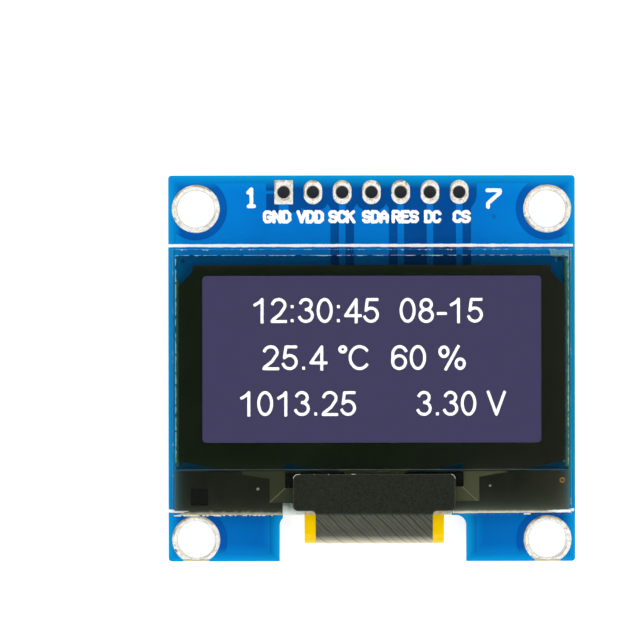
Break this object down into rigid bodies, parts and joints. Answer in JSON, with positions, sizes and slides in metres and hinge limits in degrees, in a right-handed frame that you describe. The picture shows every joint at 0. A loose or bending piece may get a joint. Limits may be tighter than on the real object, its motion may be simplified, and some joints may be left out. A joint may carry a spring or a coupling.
{
  "type": "small oled display module",
  "caption": "Small flat OLED display module: a glass screen taped to a notched blue circuit board, with a folded flex circuit, corner mounting holes and a row of header holes.",
  "frame": {"origin": "centre of the board's outline, on the surface that the module lies on", "axes": "+Z out of the screen, +Y towards the header row, +X to the right as seen from the front"},
  "size_m": [0.0354, 0.0336, 0.0041],
  "materials": {
    "mask_blue": "glass-fibre laminate under a smooth blue solder mask, glossy",
    "mask_over_copper": "blue solder mask over a copper field, glossy and lighter than the bare laminate",
    "tinned_copper": "copper with a hot-levelled tin coat, bright and slightly uneven",
    "acrylic_tape": "double-sided acrylic tape, matt",
    "cap_glass": "clear float glass with an etched recess",
    "clear_glass": "clear polished glass with cut edges",
    "clear_adhesive": "cured clear adhesive",
    "getter_grey": "grey drying sheet, matt",
    "dark_cathode": "metal film that looks near black behind the polarizer",
    "lit_screen": "lit screen area, even violet grey with white characters",
    "polarizer_film": "smooth neutral grey polarizing film",
    "trace_metal": "thin metal traces on glass, olive",
    "silicon": "bare silicon die, near black",
    "black_spacer": "black spacer tape, matt",
    "black_tape": "black shield tape, satin",
    "bond_film": "bonding film, pale tan",
    "polyimide": "amber polyimide film, glossy",
    "flex_cover": "dark cover film over fine tracks",
    "moulded_epoxy": "black moulded epoxy, fine matt",
    "tin_plate": "tin-plated metal, satin",
    "solder": "bright solder, smooth",
    "capacitor_ceramic": "fired ceramic, tan, matt",
    "resistor_glaze": "black glaze on a white ceramic chip"
  },
  "bodies": {
    "root": {"printed_board": "mask_blue", "front_copper": "mask_over_copper", "rear_copper": "mask_over_copper", "rear_lands": "tinned_copper", "mounting_eyelet_top_left": "tinned_copper", "mounting_eyelet_top_right": "tinned_copper", "mounting_eyelet_bottom_left": "tinned_copper", "mounting_eyelet_bottom_right": "tinned_copper", "header_pad_1": "tinned_copper", "header_pad_2": "tinned_copper", "header_pad_3": "tinned_copper", "header_pad_4": "tinned_copper", "header_pad_5": "tinned_copper", "header_pad_6": "tinned_copper", "header_pad_7": "tinned_copper", "mounting_tape": "acrylic_tape", "cap_glass": "cap_glass", "getter_sheet": "getter_grey", "panel_seal": "clear_adhesive", "cathode_layer": "dark_cathode", "emitter_layer": "lit_screen", "substrate_glass": "clear_glass", "polarizer": "polarizer_film", "left_traces": "trace_metal", "right_traces": "trace_metal", "driver_chip": "silicon", "ledge_spacer": "black_spacer", "shield_tape": "black_tape", "bond_strip": "bond_film", "flex_film": "polyimide", "flex_cover": "flex_cover", "flex_fingers": "tinned_copper", "flex_joints": "solder", "regulator_body": "moulded_epoxy", "regulator_leads": "tin_plate", "diode_body": "moulded_epoxy", "diode_leads": "tin_plate", "capacitor_1": "capacitor_ceramic", "capacitor_2": "capacitor_ceramic", "capacitor_3": "capacitor_ceramic", "capacitor_4": "capacitor_ceramic", "capacitor_5": "capacitor_ceramic", "capacitor_6": "capacitor_ceramic", "capacitor_7": "capacitor_ceramic", "capacitor_8": "capacitor_ceramic", "resistor_1": "resistor_glaze", "resistor_2": "resistor_glaze", "resistor_3": "resistor_glaze", "resistor_4": "resistor_glaze", "resistor_5": "resistor_glaze", "resistor_6": "resistor_glaze", "capacitor_terminals": "tin_plate", "resistor_terminals": "tin_plate", "solder_fillets": "solder"}
  },
  "joints": []
}
